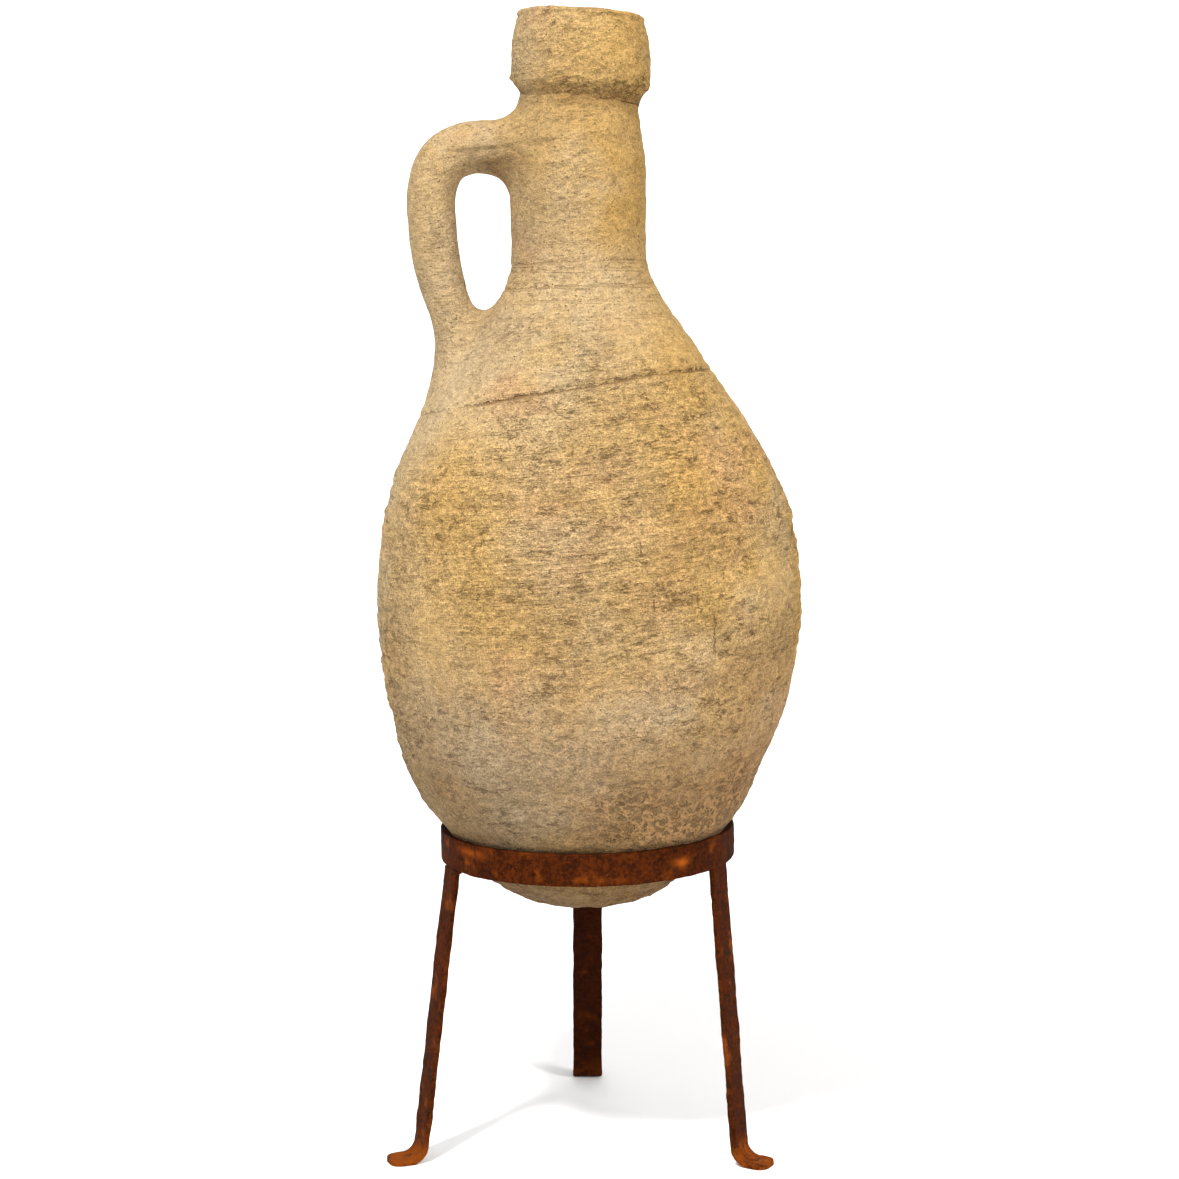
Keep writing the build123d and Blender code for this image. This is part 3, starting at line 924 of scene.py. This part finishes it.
def hoop_marks(points):
    """Two spots of bright rust on the front, and painted shade past the seam where the hoop turns away, at
    the left and on the inside.
    """
    marks = iron_marks(points)
    turn = np.arctan2(points[..., 0], -points[..., 1])
    marks["orange"] += 0.7 * patch(turn, points[..., 2], (38, 246.5), (3.2, 3.4))
    marks["orange"] += 0.35 * patch(turn, points[..., 2], (-50, 250), (7, 3))
    # Painted shade where the hoop turns away past the seam and at the left, and inside the hoop under the
    # jug
    marks["dark"] += 0.55 * between(turn, 70, 95, 2) + 0.4 * between(turn, -95, -80, 6)
    inside = np.hypot(points[..., 0], points[..., 1]) < HOOP_RADIUS - 3
    marks["dark"] += 0.5 * inside
    return {name: np.clip(value, 0, 1) for name, value in marks.items()}


def make_hoop(iron):
    """The hoop: one bar bent round, its ends butted at the seam, with rust-eaten faces."""
    gap = 0.5 / HOOP_RADIUS
    angle = SEAM_ANGLE + np.linspace(gap, FULL_TURN - gap, 560)
    out = np.stack([np.sin(angle), -np.cos(angle), 0 * angle], -1)
    place = out * (HOOP_RADIUS - BAR_THICKNESS / 2) + np.array([0, 0, HOOP_TOP - BAR_WIDTH / 2])
    side = np.broadcast_to(np.array([0, 0, 1.0]), out.shape)
    section = bar_section(BAR_WIDTH, BAR_THICKNESS, BAR_CORNER, 16, 4)
    points = (place[:, None, :] + section[None, :, 0, None] * out[:, None, :]
              + section[None, :, 1, None] * side[:, None, :])
    normals = grid_normals(points)
    relief = 0.22 * clouds(points, 16, 2, 3) + 0.16 * clouds(points, 4.5, 3, 2)
    relief = np.minimum(relief, 0.12)
    relief[[0, -1]] = 0
    points = hoop_tilted(points + normals * relief[..., None])
    faces = capped_faces(*points.shape[:2])
    marks = hoop_marks(points)
    add_piece("stand_hoop", points, faces, iron, "stand", ["ring_hoop"], marks)


def leg_frames(side):
    """The middle line of a leg: down and out, round the heel, and along the foot."""
    low = HOOP_TOP - BAR_WIDTH
    top = HOOP_RADIUS - BAR_THICKNESS / 2
    heel = HEEL_REACHES[side]
    floor = BAR_THICKNESS / 2
    direction = np.array([heel - top, floor - low])
    direction /= np.linalg.norm(direction)
    turn = math.atan2(direction[1], direction[0])
    back_off = HEEL_BEND * math.tan(-turn / 2)
    corner = np.array([heel, floor])
    bend_start = corner - direction * back_off
    centre = np.array([corner[0] + back_off, floor + HEEL_BEND])
    length = np.linalg.norm(bend_start - [top, low])
    straight = bend_start - direction * np.linspace(length, 0, 150)[:-1, None]
    swing = np.linspace(turn, 0, 26)
    bend = centre + HEEL_BEND * np.stack([np.sin(swing), -np.cos(swing)], -1)
    end = heel + FOOT_LENGTH
    foot = np.stack([np.linspace(bend[-1, 0], end, 40)[1:], np.full(39, floor)], -1)
    flat = np.concatenate([straight, bend, foot])
    heading = np.gradient(flat, axis=0)
    heading /= np.linalg.norm(heading, axis=1, keepdims=True)
    a = math.radians(LEG_ANGLES[side])
    radial = np.array([math.sin(a), -math.cos(a), 0])
    place = flat[:, :1] * radial + flat[:, 1:] * np.array([0, 0, 1.0])
    out = -heading[:, 1:] * radial + heading[:, :1] * np.array([0, 0, 1.0])
    across = np.broadcast_to(np.array([math.cos(a), math.sin(a), 0]), out.shape)
    return place, out, across, end - flat[:, 0]


def make_leg(side, iron):
    """A leg and its foot, with rounded corners at the toe."""
    place, out, across, from_tip = leg_frames(side)
    section = bar_section(BAR_WIDTH, BAR_THICKNESS, BAR_CORNER, 14, 4)
    into_toe = TOE_RADIUS - np.clip(from_tip, 0, TOE_RADIUS)
    narrowing = TOE_RADIUS - np.sqrt(np.maximum(TOE_RADIUS ** 2 - into_toe ** 2, 0.05))
    share = 1 - narrowing / (BAR_WIDTH / 2)

    # The top follows the tilted lower edge of the hoop, a tenth of a millimetre below it
    moved_rows = 40
    rise = hoop_tilted(place)[:1, 2] - place[:1, 2]
    place[:moved_rows, 2] += np.linspace(1, 0, moved_rows) ** 1.5 * rise - 0.1
    points = (place[:, None, :] + section[None, :, 0, None] * out[:, None, :]
              + section[None, :, 1, None] * share[:, None, None] * across[:, None, :])
    normals = grid_normals(points)
    relief = 0.25 * clouds(points, 18, 2, 3) + 0.18 * clouds(points, 5, 3, 2)
    relief[[0, -1]] = 0
    points = points + normals * relief[..., None]
    points[..., 2] = np.maximum(points[..., 2], 0.0)
    marks = iron_marks(points)
    marks["orange"] += 0.35 * soft_step(26, 4, points[..., 2])
    # Painted shadow on the back leg, which stands under the jug
    marks["dark"] += 0.85 if side == "back" else 0.0
    marks = {name: np.clip(value, 0, 1) for name, value in marks.items()}
    faces = capped_faces(*points.shape[:2])
    add_piece(f"stand_leg_{side}", points, faces, iron, "stand", [f"leg_{side}"], marks)


def bead(name, place, half_sizes, out, side, up, iron, node):
    """A lump of weld metal: an uneven egg shape with the three half sizes."""
    rows = np.linspace(0, math.pi, 34)[1:-1]
    turn = np.arange(44) / 44 * FULL_TURN
    ball = np.stack([np.sin(rows)[:, None] * np.cos(turn), np.sin(rows)[:, None] * np.sin(turn),
                     np.cos(rows)[:, None] * np.ones(44)], -1)
    box = np.sign(ball) * abs(ball) ** 0.75
    points = (place + box[..., :1] * half_sizes[0] * out + box[..., 1:2] * half_sizes[1] * up
              + box[..., 2:] * half_sizes[2] * side)
    points = points + ball.dot(np.stack([out, up, side])) * (0.5 * clouds(points, 7, 1, 3))[..., None]
    points = hoop_tilted(points)
    faces = [face[::-1] for face in capped_faces(*points.shape[:2])]
    marks = iron_marks(points)
    marks["dark"] += 0.35
    add_piece(name, points, faces, iron, "stand", [node], marks)


def make_welds(iron):
    """A weld under the hoop at each leg, and one inside its seam. Half sizes: out, up and along."""
    up = np.array([0, 0, 1.0])
    low = HOOP_TOP - BAR_WIDTH
    for leg, degrees in LEG_ANGLES.items():
        a = math.radians(degrees)
        out = np.array([math.sin(a), -math.cos(a), 0])
        side = np.array([math.cos(a), math.sin(a), 0])
        place = out * (HOOP_RADIUS - 2.9) + up * low
        bead(f"stand_weld_{leg}", place, (2.4, 2.8, 15.0), out, side, up, iron, f"weld_{leg}")
    out = np.array([math.sin(SEAM_ANGLE), -math.cos(SEAM_ANGLE), 0])
    side = np.array([math.cos(SEAM_ANGLE), math.sin(SEAM_ANGLE), 0])
    place = out * (HOOP_INSIDE + 0.2) + up * (low + 13)
    bead("stand_seam_weld", place, (2.2, 8.0, 1.6), out, side, up, iron, "hoop_seam_weld")


# ---------------------------------------------------------------- camera, floor and light

SENSOR_WIDTH = 36.0
LENS = 72.98
CAMERA_PLACE = (0.0017, -1.884, 0.654)
CAMERA_DOWN = 0.11


def make_camera():
    """The photograph's view: from the front, a little above the middle, tipped down."""
    data = bpy.data.cameras.new("camera")
    data.sensor_width = SENSOR_WIDTH
    data.lens = LENS
    camera = bpy.data.objects.new("camera", data)
    camera.location = CAMERA_PLACE
    camera.rotation_euler = (math.pi / 2 - CAMERA_DOWN, 0, 0)
    bpy.context.scene.collection.objects.link(camera)
    bpy.context.scene.camera = camera


def make_floor():
    """A pale floor that curves up into a wall all round, in metres."""
    level, bend, wall_top, columns = 3.6, 1.2, 3.4, 96
    s = Shader("pale_floor")
    normal = s.add("ShaderNodeNewGeometry", {}).outputs["Normal"]
    s.finish([0.92, 0.92, 0.92, 1], 0.9, normal, specular=0.1)
    swing = np.linspace(0, math.pi / 2, 24)
    radius = np.concatenate([[0.4, 2.0], level + bend * np.sin(swing), [level + bend]])
    height = np.concatenate([[0, 0], bend - bend * np.cos(swing), [wall_top]])
    turn = np.arange(columns) / columns * FULL_TURN
    points = np.stack([radius[:, None] * np.sin(turn), -radius[:, None] * np.cos(turn),
                       height[:, None] * np.ones(columns)], -1)
    faces = [list(f)[::-1] for f in grid_faces(len(radius), columns).tolist()]
    faces.append(list(range(columns)))
    mesh = bpy.data.meshes.new("floor")
    mesh.from_pydata(points.reshape(-1, 3).tolist(), [], faces)
    mesh.polygons.foreach_set("use_smooth", np.ones(len(mesh.polygons), bool))
    mesh.materials.append(s.material)
    floor = bpy.data.objects.new("floor", mesh)
    bpy.context.scene.collection.objects.link(floor)


def add_light(name, place, target, size, power, colour):
    """A round lamp at a place, turned to its target."""
    data = bpy.data.lights.new(name, "AREA")
    data.shape = "DISK"
    data.size = size
    data.energy = power
    data.color = colour
    light = bpy.data.objects.new(name, data)
    light.location = place
    x, y, z = np.array(target) - np.array(place)
    light.rotation_euler = (math.atan2(math.hypot(x, y), -z), 0, math.atan2(-x, y))
    bpy.context.scene.collection.objects.link(light)


def make_light():
    """A bright studio: a small key lamp at the left, a fill at the right, and one on the backdrop."""
    object_middle = (0, 0, 0.5)
    world = bpy.data.worlds.new("studio")
    world.use_nodes = True
    background = world.node_tree.nodes["Background"]
    background.inputs["Color"].default_value = (1, 1, 1, 1)
    background.inputs["Strength"].default_value = 0.5
    bpy.context.scene.world = world
    add_light("key", (-0.8, -1.5, 2.6), object_middle, 0.4, 105, (1, 0.985, 0.96))
    add_light("fill", (1.7, -1.5, 1.6), object_middle, 0.6, 42, (1, 1, 1))
    add_light("backdrop", (0, 2.2, 3.2), (0, 4.6, 0.8), 2.5, 90, (1, 1, 1))
    bpy.context.scene.view_settings.view_transform = "Standard"


clay = clay_material()
iron = iron_material("rusted_iron", 0.5)
make_clay(clay)
make_handle(clay)
make_collar(clay)
make_hoop(iron)
for leg_side in LEG_ANGLES:
    make_leg(leg_side, iron)
make_welds(iron)
make_camera()
make_floor()
make_light()

bpy.context.view_layer.update()
